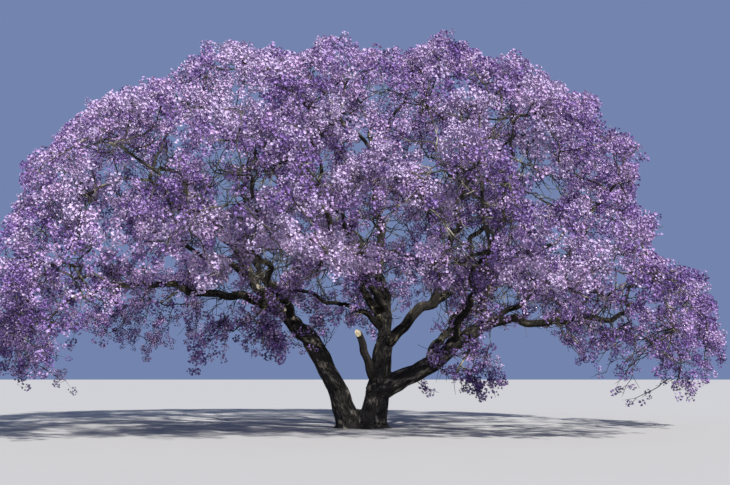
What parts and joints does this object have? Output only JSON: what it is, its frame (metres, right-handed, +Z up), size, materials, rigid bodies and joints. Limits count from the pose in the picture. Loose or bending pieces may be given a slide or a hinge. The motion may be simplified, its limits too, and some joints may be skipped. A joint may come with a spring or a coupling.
{
  "type": "jacaranda tree",
  "caption": "Large old jacaranda tree in full bloom without leaves: low twin-stemmed trunk, sinuous spreading boughs and a broad domed crown of lilac blossom.",
  "frame": {"origin": "on the ground, at the middle of the flat cut under the trunk", "axes": "+Z up, +X to the east side of the crown (right seen from the front), -Y to the front"},
  "size_m": [23.8493, 19.1668, 12.6926],
  "materials": {
    "bark": "rough grey-brown bark with paler tan streaks",
    "blossom": "soft matt lilac to violet petals on thin tan twigs"
  },
  "bodies": {
    "root": {"trunk": "bark", "stem_west": "bark", "stem_centre": "bark", "back_centre": "bark", "back_east": "bark", "back_right": "bark", "back_west": "bark", "broken_stub": "bark", "centre_left": "bark", "centre_right": "bark", "centre_up": "bark", "east_low": "bark", "east_rise": "bark", "east_shelf": "bark", "east_up": "bark", "fore_centre": "bark", "fore_east": "bark", "fore_west": "bark", "hanging_limb": "bark", "left_shelf": "bark", "upper_right": "bark", "west_crown": "bark", "west_high": "bark", "west_low": "bark", "west_main": "bark", "west_mid": "bark", "hanging_east": "blossom", "hanging_west": "blossom", "inner_east": "blossom", "inner_fore": "blossom", "inner_west": "blossom", "shoulder_01": "blossom", "shoulder_02": "blossom", "shoulder_03": "blossom", "shoulder_04": "blossom", "shoulder_05": "blossom", "shoulder_06": "blossom", "shoulder_07": "blossom", "shoulder_08": "blossom", "shoulder_09": "blossom", "skirt_01": "blossom", "skirt_02": "blossom", "skirt_03": "blossom", "skirt_04": "blossom", "skirt_05": "blossom", "skirt_06": "blossom", "skirt_07": "blossom", "skirt_08": "blossom", "skirt_09": "blossom", "skirt_10": "blossom", "top_01": "blossom", "top_02": "blossom", "top_03": "blossom", "upper_01": "blossom", "upper_02": "blossom", "upper_03": "blossom", "upper_04": "blossom", "upper_05": "blossom", "upper_06": "blossom"}
  },
  "joints": []
}
